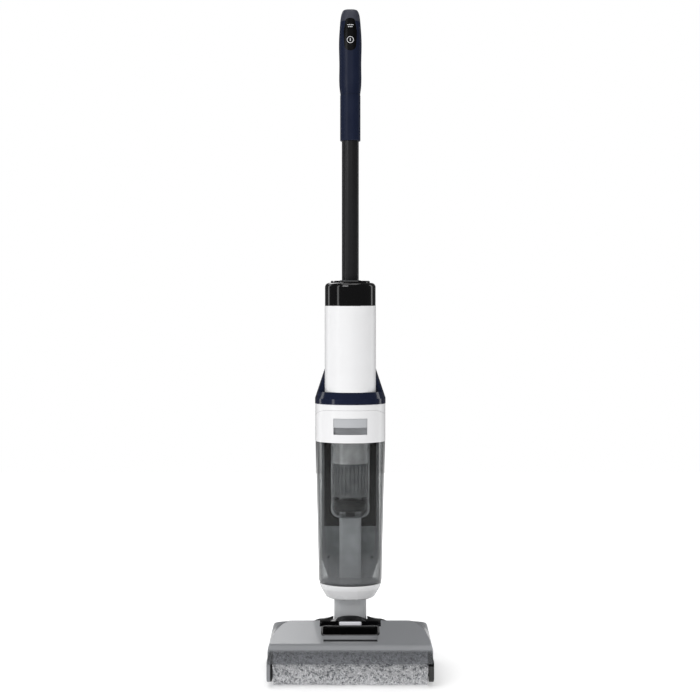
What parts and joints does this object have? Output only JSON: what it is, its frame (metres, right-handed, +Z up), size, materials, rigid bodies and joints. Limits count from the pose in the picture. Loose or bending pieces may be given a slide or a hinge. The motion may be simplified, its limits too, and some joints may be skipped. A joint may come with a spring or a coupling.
{
  "type": "wet_dry_floor_scrubber",
  "caption": "Upright cordless wet and dry floor scrubber with a plush front roller, clear roller cover, dirty-water tank and button grip",
  "frame": {"origin": "on the floor under the middle of the floor head's outline", "axes": "+Z up, -Y out of the roller's front, +X to the right seen from the front, the user stands on the +Y side"},
  "size_m": [0.267, 0.226, 1.0998],
  "materials": {
    "black_plastic": "satin",
    "head_black": "gloss",
    "cover_grey": "satin",
    "rubber_black": "matte",
    "motor_steel": "satin",
    "steel": "satin",
    "brass": "satin",
    "core_white": "satin",
    "roller_pile": "matte",
    "tyre_grey": "matte",
    "smoke_clear": "clear",
    "black_gloss": "gloss",
    "button_white": "gloss",
    "neck_grey": "satin",
    "cup_white": "gloss",
    "navy_gloss": "gloss",
    "board_green": "gloss",
    "body_white": "gloss",
    "lens_black": "gloss",
    "battery_blue": "gloss",
    "aluminium": "satin",
    "tank_smoke": "clear",
    "collar_bright": "satin",
    "filter_grey": "matte",
    "latch_grey": "satin",
    "float_black": "satin",
    "water_clear": "clear",
    "tube_black": "satin",
    "navy_satin": "satin",
    "grip_dark": "satin",
    "button_black": "gloss",
    "mode_lit": "gloss"
  },
  "bodies": {
    "head": {"head_base": "black_plastic", "head_top_shell": "head_black", "head_screws": "steel", "cheek_left": "black_plastic", "cheek_right": "head_black", "belt_cover": "cover_grey", "drive_belt": "rubber_black", "brush_motor": "motor_steel", "squeegee_blade": "rubber_black", "spray_bar": "black_plastic", "suction_duct": "black_plastic", "wheel_axles": "steel", "pivot_pins": "steel"},
    "roller": {"roller_core": "core_white", "roller_pile": "roller_pile", "drive_pulley": "black_plastic"},
    "motor_rotor": {"motor_pulley": "brass"},
    "wheel_left": {"wheel_hub_left": "black_plastic", "tyre_left": "tyre_grey"},
    "wheel_right": {"wheel_hub_right": "black_plastic", "tyre_right": "tyre_grey"},
    "cover": {"roller_cover": "smoke_clear", "cover_grip_pocket": "black_gloss"},
    "release": {"cover_release": "button_white"},
    "neck": {"neck_yoke": "neck_grey", "swivel_retainer": "steel"},
    "body": {"lower_cup": "cup_white", "spine_housing": "navy_gloss", "charge_contacts": "steel", "bay_panel": "black_plastic", "bay_stops": "rubber_black", "water_pump": "black_plastic", "control_board": "board_green", "upper_band": "body_white", "shroud": "navy_gloss", "sleeve": "body_white", "top_cap": "black_gloss", "display_lens": "lens_black", "motor_case": "black_plastic", "motor_stator": "motor_steel", "battery_pack": "battery_blue"},
    "fan": {"fan_impeller": "aluminium"},
    "dirty_tank": {"dirty_tank_shell": "tank_smoke", "inlet_pipe": "tank_smoke", "tank_head": "body_white", "filter_collar": "collar_bright", "filter_element": "filter_grey", "float_cage": "tank_smoke"},
    "latch": {"tank_latch": "latch_grey"},
    "float": {"float_ball": "float_black"},
    "clean_tank": {"clean_tank_shell": "water_clear"},
    "filler": {"fill_cap": "rubber_black"},
    "handle": {"handle_tube": "tube_black", "grip_collar": "navy_satin", "grip_front": "navy_satin", "grip_rear": "navy_satin", "grip_cap": "grip_dark", "button_bezel": "black_gloss"},
    "power": {"power_button": "button_black"},
    "mode": {"mode_button": "mode_lit"}
  },
  "joints": [
    {"name": "roller_spin", "type": "hinge", "parent": "head", "child": "roller", "pos_m": [0, -0.0799, 0.029], "axis": [1, 0, 0], "continuous": true},
    {"name": "motor_spin", "type": "hinge", "parent": "head", "child": "motor_rotor", "pos_m": [-0.1286, 0.005, 0.028], "axis": [1, 0, 0], "continuous": true},
    {"name": "wheel_left_spin", "type": "hinge", "parent": "head", "child": "wheel_left", "pos_m": [-0.088, 0.0885, 0.023], "axis": [1, 0, 0], "continuous": true},
    {"name": "wheel_right_spin", "type": "hinge", "parent": "head", "child": "wheel_right", "pos_m": [0.088, 0.0885, 0.023], "axis": [1, 0, 0], "continuous": true},
    {"name": "cover_lift", "type": "slide", "parent": "head", "child": "cover", "axis": [0, -0.7071, 0.7071], "range_m": [0, 0.07]},
    {"name": "release_press", "type": "slide", "parent": "head", "child": "release", "axis": [0, 0, -1], "range_m": [0, 0.002], "stiffness_N_per_m": 400},
    {"name": "neck_recline", "type": "hinge", "parent": "head", "child": "neck", "pos_m": [0, 0.045, 0.042], "axis": [-1, 0, 0], "range_deg": [0, 70]},
    {"name": "body_swivel", "type": "hinge", "parent": "neck", "child": "body", "pos_m": [0, 0.045, 0.121], "axis": [0, 0, 1], "range_deg": [-40, 40]},
    {"name": "fan_spin", "type": "hinge", "parent": "body", "child": "fan", "pos_m": [0, 0.025, 0.4563], "axis": [0, 0, 1], "continuous": true},
    {"name": "dirty_tank_slide", "type": "slide", "parent": "body", "child": "dirty_tank", "axis": [0, -1, 0], "range_m": [0, 0.14]},
    {"name": "latch_press", "type": "slide", "parent": "dirty_tank", "child": "latch", "axis": [0, 1, 0], "range_m": [0, 0.003], "stiffness_N_per_m": 400},
    {"name": "float_rise", "type": "slide", "parent": "dirty_tank", "child": "float", "axis": [0, 0, 1], "range_m": [0, 0.007]},
    {"name": "clean_tank_slide", "type": "slide", "parent": "body", "child": "clean_tank", "axis": [0, 1, 0], "range_m": [0, 0.1]},
    {"name": "fill_cap_open", "type": "hinge", "parent": "clean_tank", "child": "filler", "pos_m": [0, 0.10475, 0.6081], "axis": [-1, 0, 0], "range_deg": [0, 100]},
    {"name": "handle_pull", "type": "slide", "parent": "body", "child": "handle", "axis": [0, 0, 1], "range_m": [0, 0.06]},
    {"name": "power_press", "type": "slide", "parent": "handle", "child": "power", "axis": [0, 0.9877, -0.1564], "range_m": [0, 0.001], "stiffness_N_per_m": 400},
    {"name": "mode_press", "type": "slide", "parent": "handle", "child": "mode", "axis": [0, 0.9877, -0.1564], "range_m": [0, 0.001], "stiffness_N_per_m": 400}
  ],
  "couplings": [
    {"joint": "motor_spin", "follows": "roller_spin", "ratio": 2}
  ]
}
